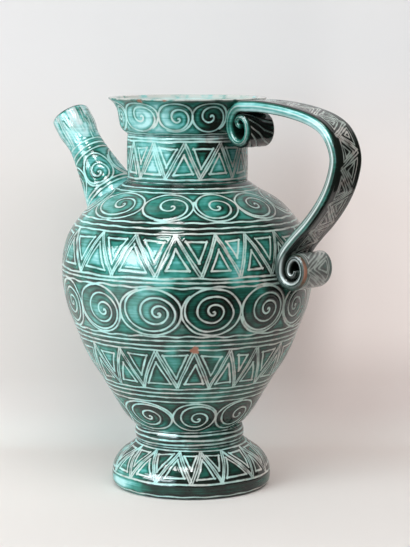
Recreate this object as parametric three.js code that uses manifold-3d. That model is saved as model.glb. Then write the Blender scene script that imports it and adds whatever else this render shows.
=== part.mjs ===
// Chevrette: a glazed earthenware jug on a pedestal foot, with a slanted spout on its shoulder
// and a strap handle whose two ends are rolled into scrolls.
// The pot is a stack of members turned on the wheel. Each one is luted to the next with a thin
// ring of slip, and the spout and the handle are luted on the same way.
// Millimetres, +Z up. The origin is on the table, in the middle of the jug's overall box.

import * as THREE from "three";
import { mergeVertices } from "three/addons/utils/BufferGeometryUtils.js";
import Module from "manifold-3d";

const wasm = await Module();
wasm.setup();

// Heights of the turned members, and of the slip between each two of them
const footHeight = 32.8;
const waistHeight = 10.4;
const bellyHeight = 176.2;
const neckHeight = 31.8;
const collarHeight = 25.6;
const slip = 0.8;

// Radii of the turned members, outside
const footRadius = 57.6;
const waistRadius = 38.5;
const waistBulge = 1;
const bellyRadius = 90.3;
const neckRadius = 43.1;
const rimRadius = 57;

// How far up the belly its widest place is
const bellyWidestHeight = 112;

// The foot was luted a little off the pot's axis: how far, and in which direction from +X
const footDrift = 2.4;
const footDriftAngle = 40;

// Walls
const wall = 6.5;
const footWall = 9;
const floorThickness = 8;

// Spout: a turned tube whose axis meets the shoulder at the seat, below the belly's top, and leans out
const spoutSeatDrop = 18.2;
const spoutTilt = 36;
const spoutLength = 76;
const spoutTipRadius = 14.4;
const spoutWaistRadius = 12.8;
const spoutFootRadius = 21.5;
const spoutWaistDrop = 27;
const spoutHollow = 1;
const spoutBore = 8;
const spoutLip = 2;
const spoutRoot = 24;

// Handle: one strap, rolled up at both ends, that widens below its bend
const handleReach = 140.8;
const handleWidth = 31.5;
const handleLowerWidth = 34.5;
const handleThickness = 8;
const handleEdge = 1.6;
const handleBendDrop = 37.5;
const strapBelowRim = 0.8;
const scrollGap = 1;
const scrollTipThickness = 3.65;
const upperScrollDrop = 25.8;
const upperScrollBulge = 9.9;
const upperScrollInnerBulge = 6.2;
const upperScrollStandOff = 1.4;
const lowerScrollWidth = 20.2;
const lowerScrollBulge = 10.5;
const lowerScrollInnerBulge = 9.1;
const lowerScrollLevel = 165;
const lowerScrollPress = 0.8;

// Left between curved faces that meet
const clearance = 0.3;

// Facets of a full turn, and steps along half a turn of a scroll and along the bow between the scrolls
const potFacets = 48;
const spoutFacets = 32;
const scrollSteps = 7;
const bowSteps = 26;

// The spout's seat, as a height above the belly's foot
const spoutSeatHeight = bellyHeight - spoutSeatDrop;

// Levels of the members, from the table up
const waistLevel = footHeight + slip;
const bellyLevel = waistLevel + waistHeight + slip;
const neckLevel = bellyLevel + bellyHeight + slip;
const collarLevel = neckLevel + neckHeight + slip;
const rimLevel = collarLevel + collarHeight;

// Outlines, as shares: how far up the stretch, and how far out between its two end radii
const footOutline = [
  [0, 0.79],
  [0.04, 0.91],
  [0.12, 0.98],
  [0.2, 1],
  [0.35, 0.99],
  [0.52, 0.89],
  [0.71, 0.66],
  [0.85, 0.34],
  [1, 0],
];
const lowerBellyOutline = [
  [0, 0],
  [0.06, 0.12],
  [0.15, 0.25],
  [0.3, 0.44],
  [0.46, 0.65],
  [0.62, 0.8],
  [0.77, 0.92],
  [0.91, 0.985],
  [1, 1],
];
const shoulderOutline = [
  [0.14, 0.99],
  [0.25, 0.962],
  [0.37, 0.913],
  [0.46, 0.851],
  [0.54, 0.78],
  [0.625, 0.687],
  [0.7, 0.59],
  [0.75, 0.515],
  [0.82, 0.385],
  [0.88, 0.235],
  [0.94, 0.11],
  [1, 0],
];
const collarOutline = [
  [0, 0],
  [0.08, 0.19],
  [0.19, 0.33],
  [0.38, 0.4],
  [0.62, 0.475],
  [0.81, 0.63],
  [0.92, 0.86],
  [0.975, 1],
  [1, 0.96],
];

// The strap between its scrolls, as shares of its reach and of its drop
const strapAboveBend = [
  [0.2, 0],
  [0.43, 0.06],
  [0.63, 0.157],
  [0.78, 0.28],
  [0.888, 0.446],
  [0.962, 0.7],
  [1, 1],
];
const strapBelowBend = [
  [0.027, 0.13],
  [0.12, 0.28],
  [0.272, 0.427],
  [0.485, 0.578],
  [0.7, 0.7],
  [0.885, 0.817],
  [0.98, 0.915],
];

// Points (radius, level) of a stretch of the pot's outside, from its outline in shares.
function outside(outline, level, height, innerRadius, outerRadius) {
  return outline.map(([up, out]) => {
    const radius = innerRadius + (outerRadius - innerRadius) * out;
    return new THREE.Vector2(radius, level + height * up);
  });
}

const footSide = outside(footOutline, 0, footHeight, waistRadius, footRadius);
const waistSide = new THREE.QuadraticBezierCurve(
  new THREE.Vector2(waistRadius, waistLevel),
  new THREE.Vector2(waistRadius + 2 * waistBulge, waistLevel + waistHeight / 2),
  new THREE.Vector2(waistRadius, waistLevel + waistHeight),
).getPoints(5);
const shoulderHeight = bellyHeight - bellyWidestHeight;
const bellySide = [
  ...outside(lowerBellyOutline, bellyLevel, bellyWidestHeight, waistRadius, bellyRadius),
  ...outside(shoulderOutline, bellyLevel + bellyWidestHeight, shoulderHeight, neckRadius, bellyRadius),
];
const neckSide = [new THREE.Vector2(neckRadius, neckLevel), new THREE.Vector2(neckRadius, neckLevel + neckHeight)];
const collarSide = outside(collarOutline, collarLevel, collarHeight, neckRadius, rimRadius);

// The pot's outside above its waist, which the spout and the handle are seated on
const potSide = [...bellySide, ...neckSide, ...collarSide];

// Radius of the belly's outside at a height above the belly's foot.
function bellyRadiusAt(height) {
  const level = bellyLevel + height;
  const above = bellySide.findIndex((point) => point.y >= level);
  const [low, high] = [bellySide[above - 1], bellySide[above]];
  return low.x + ((high.x - low.x) * (level - low.y)) / (high.y - low.y);
}

// The same points moved square to the line through them: outwards for a positive distance.
function offset(points, distance) {
  return points.map((point, i) => {
    const before = points[Math.max(i - 1, 0)];
    const after = points[Math.min(i + 1, points.length - 1)];
    const along = after.clone().sub(before).normalize();
    return new THREE.Vector2(point.x + along.y * distance, point.y - along.x * distance);
  });
}

// A closed outline (radius, level), given up its outside and down its inside, turned about +Z.
function turned(outline, facets = potFacets) {
  const geometry = new THREE.LatheGeometry([...outline, outline[0]], facets);
  return geometry.rotateX(Math.PI / 2);
}

// A solid for joining and cutting, from a geometry that is one closed surface.
function solid(geometry) {
  const bare = new THREE.BufferGeometry().setAttribute("position", geometry.getAttribute("position"));
  bare.setIndex(geometry.index);
  const merged = mergeVertices(bare, 1e-3);
  return new wasm.Manifold(
    new wasm.Mesh({
      numProp: 3,
      vertProperties: merged.attributes.position.array,
      triVerts: new Uint32Array(merged.index.array),
    }),
  );
}

// A geometry for drawing, from a solid.
function geometryOf(shape) {
  const mesh = shape.getMesh();
  const geometry = new THREE.BufferGeometry();
  geometry.setAttribute("position", new THREE.BufferAttribute(mesh.vertProperties, 3));
  geometry.setIndex(new THREE.BufferAttribute(mesh.triVerts, 1));
  return geometry;
}

// The pot above its waist as one massive solid, grown by a distance, for seating pieces on it.
function grownPot(distance) {
  const side = offset(potSide, distance);
  const top = side[side.length - 1].y + distance;
  return solid(turned([new THREE.Vector2(0, side[0].y), ...side, new THREE.Vector2(0, top)]));
}

// Where slip starts, where it ends, and where the piece that it holds starts
const slipInside = grownPot(clearance);
const slipOutside = grownPot(clearance + slip);
const seatOutside = grownPot(clearance + slip + clearance);

// A flat ring of slip between two turned members.
function slipRing(level, innerRadius, outerRadius) {
  return turned([
    new THREE.Vector2(outerRadius, level),
    new THREE.Vector2(outerRadius, level + slip),
    new THREE.Vector2(innerRadius, level + slip),
    new THREE.Vector2(innerRadius, level),
  ]);
}

// The pedestal: a hollow flared ring that stands on its flat lower edge.
function foot() {
  const inside = footSide.map((point) => new THREE.Vector2(point.x - footWall, point.y));
  return turned([...footSide, ...inside.reverse()]);
}

// The rounded ring between the pedestal and the belly.
function waist() {
  const innerRadius = waistRadius - footWall;
  const top = waistLevel + waistHeight;
  return turned([...waistSide, new THREE.Vector2(innerRadius, top), new THREE.Vector2(innerRadius, waistLevel)]);
}

// The belly: a shell with a flat floor, open at the neck and pierced for the spout.
function belly() {
  const floor = bellyLevel + floorThickness;
  const shell = offset(bellySide, -wall).filter((point) => point.y > floor + wall / 2);
  const mouth = new THREE.Vector2(neckRadius - wall, bellyLevel + bellyHeight);
  const inside = [...shell.filter((point) => point.y < mouth.y - wall / 2), mouth].reverse();
  const corner = new THREE.Vector2(waistRadius - wall / 2, floor);
  const axisPoints = [new THREE.Vector2(0, floor), new THREE.Vector2(0, bellyLevel)];
  return geometryOf(solid(turned([...bellySide, ...inside, corner, ...axisPoints])).subtract(spoutBoreSolid()));
}

// The plain cylinder between the shoulder and the collar.
function neck() {
  const innerRadius = neckRadius - wall;
  const [low, high] = neckSide;
  return turned([low, high, new THREE.Vector2(innerRadius, high.y), new THREE.Vector2(innerRadius, low.y)]);
}

// The collar: it swells out over the neck, rises and turns out into the pouring rim.
function collar() {
  const inside = collarSide.map((point) => new THREE.Vector2(point.x - wall, point.y));
  return turned([...collarSide, ...inside.reverse()]);
}

// The spout's own axis: its seat on the shoulder, at z = 0, and its tip, at z = spoutLength
const spoutPlace = new THREE.Matrix4()
  .makeTranslation(-bellyRadiusAt(spoutSeatHeight), 0, bellyLevel + spoutSeatHeight)
  .multiply(new THREE.Matrix4().makeRotationY(-THREE.MathUtils.degToRad(spoutTilt)));

// The bore, long enough to run out of the tip and into the belly.
function spoutBoreSolid() {
  const top = spoutLength + spoutLip;
  const outline = [
    new THREE.Vector2(0, -spoutRoot),
    new THREE.Vector2(spoutBore, -spoutRoot),
    new THREE.Vector2(spoutBore, top),
    new THREE.Vector2(0, top),
  ];
  return solid(turned(outline, spoutFacets).applyMatrix4(spoutPlace));
}

// The spout before it is cut to its seat: it flares towards the shoulder and has a rounded lip.
function spoutBlank() {
  const waistAt = spoutLength - spoutWaistDrop;
  const flare = (spoutFootRadius - spoutWaistRadius) / waistAt;
  const side = new THREE.SplineCurve([
    new THREE.Vector2(spoutFootRadius + flare * spoutRoot, -spoutRoot),
    new THREE.Vector2(spoutFootRadius, 0),
    new THREE.Vector2((spoutFootRadius + spoutWaistRadius) / 2 - spoutHollow, waistAt / 2),
    new THREE.Vector2(spoutWaistRadius, waistAt),
    new THREE.Vector2(spoutTipRadius, (waistAt + spoutLength) / 2),
    new THREE.Vector2(spoutTipRadius, spoutLength - spoutLip),
  ]).getPoints(12);
  const lip = new THREE.Vector2(spoutTipRadius - spoutLip / 2, spoutLength);
  const axisPoints = [new THREE.Vector2(0, spoutLength), new THREE.Vector2(0, -spoutRoot)];
  return solid(turned([...side, lip, ...axisPoints], spoutFacets).applyMatrix4(spoutPlace));
}

function spout() {
  return geometryOf(spoutBlank().subtract(seatOutside).subtract(spoutBoreSolid()));
}

function spoutSlip() {
  return geometryOf(spoutBlank().intersect(slipOutside).subtract(slipInside).subtract(spoutBoreSolid()));
}

// How thick the strap is after so many half turns of its scroll: three of them bring it to its thinnest.
function thicknessAfter(halfTurns) {
  return handleThickness * (scrollTipThickness / handleThickness) ** (halfTurns / 3);
}

// How much closer a half turn's far end is to the scroll's middle than the half turn outside it.
function pitchAfter(halfTurns) {
  return (thicknessAfter(halfTurns) + thicknessAfter(halfTurns + 2)) / 2 + scrollGap;
}

// A scroll's centre line: two or three half turns, each a half ellipse on a shorter chord than the last.
// The first chord runs from start along direction, and the strap bulges to the right of it.
function scroll(start, direction, halfTurns, chord, bulge, innerBulge) {
  const lastBulge = bulge - pitchAfter(0.5);
  const secondChord = chord - pitchAfter(0);
  const lastChord = Math.min(secondChord - pitchAfter(1), 2 * lastBulge);
  const halves = [
    [chord, bulge],
    [secondChord, innerBulge],
    [lastChord, lastBulge],
  ].slice(0, halfTurns);
  const points = [start];
  const along = direction.clone();
  const from = start.clone();
  for (const [length, side] of halves) {
    const right = new THREE.Vector2(along.y, -along.x);
    for (let i = 1; i <= scrollSteps; i++) {
      const angle = (Math.PI * i) / scrollSteps;
      const ahead = along.clone().multiplyScalar((length / 2) * (1 - Math.cos(angle)));
      points.push(from.clone().add(ahead).addScaledVector(right, side * Math.sin(angle)));
    }
    from.addScaledVector(along, length);
    along.negate();
  }
  return points;
}

// The strap's centre line: the upper scroll from its tip outwards, the bow, and the lower scroll.
function strapLine() {
  const top = new THREE.Vector2(
    neckRadius + upperScrollStandOff + handleThickness / 2 + upperScrollBulge,
    rimLevel - strapBelowRim - handleThickness / 2,
  );
  const seat = bellyRadiusAt(lowerScrollLevel - bellyLevel) - lowerScrollPress;
  const bottom = new THREE.Vector2(seat + handleThickness / 2, lowerScrollLevel);
  const bend = new THREE.Vector2(handleReach - handleThickness / 2, rimLevel - handleBendDrop);
  const down = new THREE.Vector2(0, -1);
  const out = new THREE.Vector2(1, 0);
  const upper = scroll(top, down, 2, upperScrollDrop, upperScrollBulge, upperScrollInnerBulge);
  const lower = scroll(bottom, out, 3, lowerScrollWidth, lowerScrollBulge, lowerScrollInnerBulge);
  const between = (from, to) => ([across, drop]) =>
    new THREE.Vector2(from.x + (to.x - from.x) * across, from.y + (to.y - from.y) * drop);
  const above = strapAboveBend.map(between(top, bend));
  const below = strapBelowBend.map(between(bend, bottom));
  const bow = new THREE.SplineCurve([top, ...above, ...below, bottom]).getPoints(bowSteps).slice(1, -1);
  return { upper: upper.reverse(), bow, lower };
}

// The strap seen from the side: its two faces on either side of the centre line, thinner in the scrolls.
function strapOutline() {
  const { upper, bow, lower } = strapLine();
  const line = [...upper, ...bow, ...lower];
  const thicknessAt = (i) => {
    const intoUpper = upper.length - 1 - i;
    const intoLower = i - upper.length - bow.length;
    return thicknessAfter(Math.max(intoUpper, intoLower, 0) / scrollSteps);
  };
  const face = (side) =>
    line.map((point, i) => {
      const before = line[Math.max(i - 1, 0)];
      const after = line[Math.min(i + 1, line.length - 1)];
      const along = after.clone().sub(before).normalize();
      const half = (side * thicknessAt(i)) / 2;
      return new THREE.Vector2(point.x - along.y * half, point.y + along.x * half);
    });
  return [...face(1), ...face(-1).reverse()];
}

// How much wider the strap is at a level than at its top: it widens from its bend to its lower scroll.
function widening(level) {
  const bendLevel = rimLevel - handleBendDrop;
  const scrollTop = lowerScrollLevel + lowerScrollInnerBulge;
  const share = THREE.MathUtils.clamp((bendLevel - level) / (bendLevel - scrollTop), 0, 1);
  return THREE.MathUtils.lerp(1, handleLowerWidth / handleWidth, share);
}

// The handle before it is cut to its seats: the outline given the strap's width, with eased edges.
function handleBlank() {
  const geometry = new THREE.ExtrudeGeometry(new THREE.Shape(strapOutline()), {
    depth: handleWidth - 2 * handleEdge,
    bevelThickness: handleEdge,
    bevelSize: handleEdge,
    bevelOffset: -handleEdge,
    bevelSegments: 2,
    steps: 1,
  });
  geometry.translate(0, 0, handleEdge - handleWidth / 2).rotateX(Math.PI / 2);
  const places = geometry.getAttribute("position");
  for (let i = 0; i < places.count; i++) {
    places.setY(i, places.getY(i) * widening(places.getZ(i)));
  }
  return solid(geometry);
}

function handle() {
  return geometryOf(handleBlank().subtract(seatOutside));
}

// The handle's slip: one patch against the neck and the collar, and one against the belly.
function handleSlip(lowest, highest) {
  const size = 4 * bellyRadius;
  const band = new THREE.BoxGeometry(size, size, highest - lowest).translate(0, 0, (highest + lowest) / 2);
  return geometryOf(handleBlank().intersect(slipOutside).subtract(slipInside).intersect(solid(band)));
}

// The colours of the glaze where the light finds it and where it pools, and of the bare slip
const glazeGreen = { color: 0x2f8f86, roughness: 0.16, metalness: 0 };
const glazeDeep = { color: 0x0f4a42, roughness: 0.14, metalness: 0 };
const glazeTurquoise = { color: 0x6cc9c4, roughness: 0.18, metalness: 0 };
const slipPale = { color: 0x9fd8cf, roughness: 0.3, metalness: 0 };

const jug = new THREE.Group();

// Adds one piece to the jug; drift is the share of the foot's drift that it stands off the pot's axis.
function add(name, geometry, finish, drift = 0) {
  geometry.computeVertexNormals();
  const mesh = new THREE.Mesh(geometry, new THREE.MeshStandardMaterial(finish));
  const angle = THREE.MathUtils.degToRad(footDriftAngle);
  mesh.name = name;
  mesh.position.set(drift * footDrift * Math.cos(angle), drift * footDrift * Math.sin(angle), 0);
  jug.add(mesh);
}

add("foot", foot(), glazeGreen, 1);
add("foot_slip", slipRing(footHeight, waistRadius - footWall, waistRadius), slipPale, 0.75);
add("waist_ring", waist(), glazeDeep, 0.5);
add("waist_slip", slipRing(waistLevel + waistHeight, waistRadius - footWall, waistRadius), slipPale, 0.25);
add("belly", belly(), glazeGreen);
add("neck_slip", slipRing(bellyLevel + bellyHeight, neckRadius - wall, neckRadius), slipPale);
add("neck", neck(), glazeDeep);
add("collar_slip", slipRing(neckLevel + neckHeight, neckRadius - wall, neckRadius), slipPale);
add("rim_collar", collar(), glazeGreen);
add("spout_slip", spoutSlip(), slipPale);
add("spout", spout(), glazeTurquoise);
add("upper_handle_slip", handleSlip(neckLevel, rimLevel), slipPale);
add("lower_handle_slip", handleSlip(bellyLevel, neckLevel - slip), slipPale);
add("handle", handle(), glazeDeep);

// The pot's axis stands where the spout's tip and the handle's bend are equally far from the origin
const tilt = THREE.MathUtils.degToRad(spoutTilt);
const tipCentre = bellyRadiusAt(spoutSeatHeight) + (spoutLength - spoutLip) * Math.sin(tilt);
const spoutReach = tipCentre + spoutTipRadius * Math.cos(tilt);
jug.position.x = (spoutReach - handleReach) / 2;

export default jug;
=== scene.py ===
# %% [markdown]
# # A glazed jug, scratched with spirals and zigzags
#
# The jug is red clay, thrown on the wheel in several pieces and luted together with slip. While it
# was still soft, bands of lines, spirals and nested triangles were scratched into it. A glossy
# green glaze went over everything: it runs thin and pale over the scratches and pools dark beside them.
#
# The CAD model already holds every piece at its real size. This lesson gives the larger ones a fine
# skin each, which can carry the scratches as real grooves, and then the glaze.

# %% Load the frame
import math

import bpy
import numpy as np
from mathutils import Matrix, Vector


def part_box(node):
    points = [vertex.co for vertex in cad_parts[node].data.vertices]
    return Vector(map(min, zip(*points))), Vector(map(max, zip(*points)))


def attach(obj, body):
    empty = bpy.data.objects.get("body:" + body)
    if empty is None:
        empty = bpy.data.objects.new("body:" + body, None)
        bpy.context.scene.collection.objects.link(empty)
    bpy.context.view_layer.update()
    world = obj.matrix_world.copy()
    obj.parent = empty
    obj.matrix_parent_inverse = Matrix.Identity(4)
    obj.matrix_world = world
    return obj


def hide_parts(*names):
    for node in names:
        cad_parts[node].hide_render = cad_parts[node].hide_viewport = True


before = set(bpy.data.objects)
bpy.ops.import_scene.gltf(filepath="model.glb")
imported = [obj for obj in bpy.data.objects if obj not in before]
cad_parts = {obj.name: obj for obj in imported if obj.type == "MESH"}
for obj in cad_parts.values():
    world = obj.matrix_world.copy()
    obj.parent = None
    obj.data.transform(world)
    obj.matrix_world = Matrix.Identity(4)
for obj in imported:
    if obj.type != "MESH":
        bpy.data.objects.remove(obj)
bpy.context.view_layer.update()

# %% [markdown]
# ## Where things are
#
# Everything turned on the wheel stands on one upright axis, and its middle is the middle of the neck's
# box. Potters think in millimetres, so this script does too, and turns them into metres only when a
# mesh is written.

# %% Middles and millimetres
MM = 0.001


def middle(node):
    """The middle of a CAD node's box, in metres."""
    low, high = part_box(node)
    return (low + high) / 2


def in_scene(name, data):
    """A new object in the scene that shows a mesh, a lamp or a camera."""
    made = bpy.data.objects.new(name, data)
    bpy.context.scene.collection.objects.link(made)
    return made


pot_axis = middle("neck")
print("the pot's axis stands at x =", round(pot_axis.x / MM, 2), "mm")

# %% [markdown]
# ## The camera
#
# A photographer stood a little to the handle's side of the jug and slightly above its rim. The
# ellipses of foot, belly and rim give the height and the distance, and a long lens keeps the outline
# nearly upright. The camera is aimed by its own angles, because an aim at a point would hide them.

# %% Camera
camera_azimuth = 39.5
camera_distance = 1295.4
camera_height = 323.0
camera_pitch = 7.466
camera_yaw = 0.553
photo_height = 547
focal_pixels = 1813
sensor = 36

camera = in_scene("camera", bpy.data.cameras.new("camera"))
camera.data.sensor_width = sensor
camera.data.lens = focal_pixels / photo_height * sensor
turn = math.radians(camera_azimuth)
camera.location = (
    pot_axis.x + camera_distance * MM * math.sin(turn),
    -camera_distance * MM * math.cos(turn),
    camera_height * MM,
)
camera.rotation_euler = (math.radians(90 - camera_pitch), 0, math.radians(camera_azimuth - camera_yaw))
bpy.context.scene.camera = camera
front_angle = camera_azimuth - 90
print("lens", round(camera.data.lens, 1), "mm; the camera stands", front_angle, "degrees from +X")

# %% [markdown]
# ## Writing shaders as sums
#
# A glaze is mostly arithmetic: this much green, less where the groove is, more where it pools. Nodes
# hold arithmetic badly, so one small class wraps a socket and lets Python's own signs add Math nodes.
# Every other node comes from one method: its type, its settings, and the values or links of its sockets.

# %% A socket that can be reckoned with
class Wire:
    """A socket in a node tree, or, with no socket, the start of one."""

    def __init__(self, tree, socket=None):
        self.tree = tree
        self.socket = socket

    def node(self, kind, settings=None, sockets=None, output=0):
        """A new node's output: settings are set first, then sockets, by name or number."""
        made = self.tree.nodes.new(kind)
        for name, value in (settings or {}).items():
            if name == "stops":
                set_stops(made.color_ramp, value)
            else:
                setattr(made, name, value)
        for name, value in (sockets or {}).items():
            if isinstance(value, Wire):
                value.into(made, name)
            else:
                made.inputs[name].default_value = value
        return Wire(self.tree, made.outputs[output])

    def into(self, node, name):
        """Links this socket to another node's input."""
        self.tree.links.new(self.socket, node.inputs[name])

    def math(self, operation, first, second):
        return self.node("ShaderNodeMath", {"operation": operation}, {0: first, 1: second})

    def __add__(self, other):
        return self.math("ADD", self, other)

    def __radd__(self, other):
        return self.math("ADD", other, self)

    def __sub__(self, other):
        return self.math("SUBTRACT", self, other)

    def __rsub__(self, other):
        return self.math("SUBTRACT", other, self)

    def __mul__(self, other):
        return self.math("MULTIPLY", self, other)

    def __rmul__(self, other):
        return self.math("MULTIPLY", other, self)


print("shader arithmetic is ready")

# %% [markdown]
# ## Colours, masks and noise
#
# Colours aren't numbers, so they are blended by Mix nodes. A mask is a number from 0 to 1 that says
# where something shows, and its edges are soft, because fired glaze has no hard ones. Noise gives the
# glaze its clouds. Nothing on a pot repeats, so each use of noise reads another part of it.

# %% Helpers for colours, masks and noise
def set_stops(ramp, stops):
    """Gives a colour ramp its stops: (place, colour) pairs."""
    while len(ramp.elements) < len(stops):
        ramp.elements.new(1)
    for element, (place, colour) in zip(ramp.elements, stops):
        element.position = place
        element.color = (*colour, 1)


def mixed(share, low, high):
    """A colour between two others: share is a value wire, low and high are colours or wires."""
    low, high = [c if isinstance(c, Wire) else (*c, 1) for c in (low, high)]
    return share.node("ShaderNodeMix", {"data_type": "RGBA"}, {0: share, 6: low, 7: high}, output=2)


def between(value, low, high):
    """A value wire turned into a smooth share: 0 at low and 1 at high."""
    span = {"From Min": low, "From Max": high, "Value": value}
    return value.node("ShaderNodeMapRange", {"interpolation_type": "SMOOTHSTEP"}, span)


def noise(place, scale, detail=2, away=0, stretch=(1, 1, 1)):
    """Soft clouds from about 0 to 1. Away picks another part of them, and stretch squeezes them."""
    spot = place.node(
        "ShaderNodeMapping", None, {"Vector": place, "Scale": stretch, "Location": (away,) * 3}
    )
    return place.node("ShaderNodeTexNoise", None, {"Vector": spot, "Scale": scale, "Detail": detail})


def axis(place, name):
    """One of the three numbers of a place."""
    return place.node("ShaderNodeSeparateXYZ", None, {"Vector": place}, output=name)


def new_material(name):
    """A material with the usual shader, and that shader."""
    material = bpy.data.materials.new(name)
    material.use_nodes = True
    return material, material.node_tree.nodes["Principled BSDF"]


print("colour helpers are ready")

# %% [markdown]
# ## The glaze
#
# Copper makes a lead glaze green. Where it lies thin, over a scratch's edge or a rim, it is a milky
# turquoise; where it is thick it turns bottle green, and in the deepest pools nearly black. The brush
# left level streaks in it. In the scratches it is pale and milky, rosy where the clay shines through,
# and brown where it burnt away.
#
# The mesh carries four numbers at each vertex. `ink` is the distance in millimetres to the edge of the
# nearest scratch, negative inside it: a distance blends well between vertices, so the shader can draw
# a sharper line than the mesh is fine. `edge` is 1 on worn edges, and on the handle also along pale
# lines that are painted highlights. The third number is above 0 where the glaze ran thin and pale and
# where light is painted on, and below 0 where the glaze pooled and where shade is painted on. `bare` is
# 1 where a chip shows the clay.

# %% Glaze colours
GLAZE_BY_DEPTH = [
    (0.0, (0.48, 0.75, 0.74)),
    (0.2, (0.16, 0.46, 0.44)),
    (0.4, (0.045, 0.245, 0.20)),
    (0.6, (0.017, 0.10, 0.073)),
    (0.8, (0.010, 0.034, 0.025)),
    (1.0, (0.009, 0.012, 0.009)),
]
SCRATCH_PALE = (0.50, 0.79, 0.75)
SCRATCH_GREY = (0.53, 0.64, 0.57)
SCRATCH_ROSY = (0.70, 0.60, 0.56)
SCRATCH_ASHEN = (0.44, 0.49, 0.44)
# Pale for worn edges; on the handle it also paints highlights.
WORN_AND_SHEEN_PALE = (0.74, 0.72, 0.69)
WORN_STONE = (0.55, 0.52, 0.48)
WORN_GLOSS = (0.67, 0.69, 0.685)
CLAY_BROWN = (0.2, 0.09, 0.065)
CLAY_RED = (0.40, 0.16, 0.10)
print("the glaze has", len(GLAZE_BY_DEPTH), "depths")

# %% How the glaze lies
BRUSH_SQUEEZE = (1, 1, 30)
CLOUDING = 0.8
BLOTTING = 0.75
POOL_WIDTH = 2.8
POOLING = 0.42
THIN_AND_LIT_WEIGHT = 0.5
# The handle's side of the jug is away from the window. The glaze is painted deeper there and the scratches
# duller: painted shade.
SHADED_SIDE = (-0.02, 0.08)
SHADED_SIDE_DEPTH = 0.16
SCRATCH_BLUR = 0.32
SCRATCH_RAGGED = 0.9
STAIN = 0.6
BURN = 0.4
SCRATCH_FADE = 0.2
EDGE_PATCH_BLUR = 0.25


def thickness_of(place, ink, thin, shaded_side, depth, streaks):
    """How thick the glaze lies: 0 is a film and 1 a black pool. It is painted deeper on the handle's side,
    away from the window, as painted shade.
    """
    brush = noise(place, 30, 4, stretch=BRUSH_SQUEEZE) - 0.5
    blots = noise(place, 75, 3, away=4) - 0.5
    clouds = noise(place, 22) - 0.5
    pool = (1 - between(ink, 0.1, POOL_WIDTH)) * between(noise(place, 60, away=6), 0.25, 0.6)
    uneven = depth + clouds * CLOUDING + blots * BLOTTING + brush * streaks
    # Spots that paint light make the glaze paler here, and spots that paint shade make it darker.
    return uneven + pool * POOLING - thin * THIN_AND_LIT_WEIGHT + shaded_side * SHADED_SIDE_DEPTH


def scratch_colour(place, shaded_side, dull):
    """The colour inside a scratch: pale, duller on the handle's side as painted shade away from the window,
    with rosy and burnt places.
    """
    chalk = mixed(shaded_side, SCRATCH_PALE, dull)
    rosy = between(noise(place, 50, 3, away=13), 0.5, 0.6) * STAIN
    burnt = between(noise(place, 120, away=7), 0.6, 0.7) * BURN
    return mixed(burnt, mixed(rosy, chalk, SCRATCH_ROSY), CLAY_BROWN)


print("pools reach", POOL_WIDTH, "mm from a scratch")

# %% [markdown]
# ## One glaze for every member
#
# The same pot of glaze was used all over, but it lies deeper on the foot and the handle than on the
# spout. So one function makes the material, and each member has its own settings for it. The glaze
# itself is smooth, and the faint ripple of a brushed coat breaks its reflections up.

# %% The glaze
GLAZE_IOR = 1.45
GLAZE_ROUGHNESS = 0.06
SCRATCH_ROUGHNESS = 0.16
EDGE_ROUGHNESS = 0.08
CLAY_ROUGHNESS = 0.5
RIPPLE_STRENGTH = 0.18
RIPPLE_HEIGHT = 0.0006


def glaze(name, depth, streaks=0.55, dull=SCRATCH_GREY, edge_colour=SCRATCH_GREY, broken=0.3):
    """Green glaze over scratched clay. Depth is how far its colour leans to bottle green.

    Streaks is the strength of the brush marks, and dull the colour of the scratches on the handle's side
    of the jug, painted duller there as shade away from the window. The next setting is the colour of its
    worn edges, which on the handle also paints highlights. The higher broken is, the patchier the wear.
    """
    material, shader = new_material(name)
    start = Wire(material.node_tree)
    place = start.node("ShaderNodeTexCoord", output="Object")
    ink, edge, thin, bare = [
        start.node("ShaderNodeAttribute", {"attribute_name": field}, output="Fac")
        for field in ("ink", "edge", "thin", "bare")
    ]
    # Painted shade: 1 on the handle's side of the jug, away from the window.
    shaded_side = between(axis(place, "X") + (noise(place, 40, away=3) - 0.5) * 0.12, *SHADED_SIDE)
    thickness = thickness_of(place, ink, thin, shaded_side, depth, streaks)
    body = start.node("ShaderNodeValToRGB", {"stops": GLAZE_BY_DEPTH}, {"Fac": thickness})
    ragged = ink + (noise(place, 150, 3, away=2) - 0.5) * SCRATCH_RAGGED
    scratch = 1 - between(ragged, -SCRATCH_BLUR, SCRATCH_BLUR)
    covered = 1 - SCRATCH_FADE + between(noise(place, 90, away=9), 0.35, 0.6) * SCRATCH_FADE
    drawn = mixed(scratch * covered, body, scratch_colour(place, shaded_side, dull))
    patches = between(noise(place, 120, away=11), broken, broken + EDGE_PATCH_BLUR)
    # On the handle, the edges also carry pale lines that are painted highlights.
    rubbed_and_sheen = mixed(edge * patches, drawn, edge_colour)
    mixed(bare, rubbed_and_sheen, CLAY_RED).into(shader, "Base Color")

    polish = GLAZE_ROUGHNESS + scratch * SCRATCH_ROUGHNESS + edge * EDGE_ROUGHNESS
    (polish + bare * CLAY_ROUGHNESS).into(shader, "Roughness")
    ripple = noise(place, 70, away=5) + noise(place, 300) * 0.25
    strength = {"Height": ripple, "Strength": RIPPLE_STRENGTH, "Distance": RIPPLE_HEIGHT}
    start.node("ShaderNodeBump", None, strength).into(shader, "Normal")
    shader.inputs["IOR"].default_value = GLAZE_IOR
    return material


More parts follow.
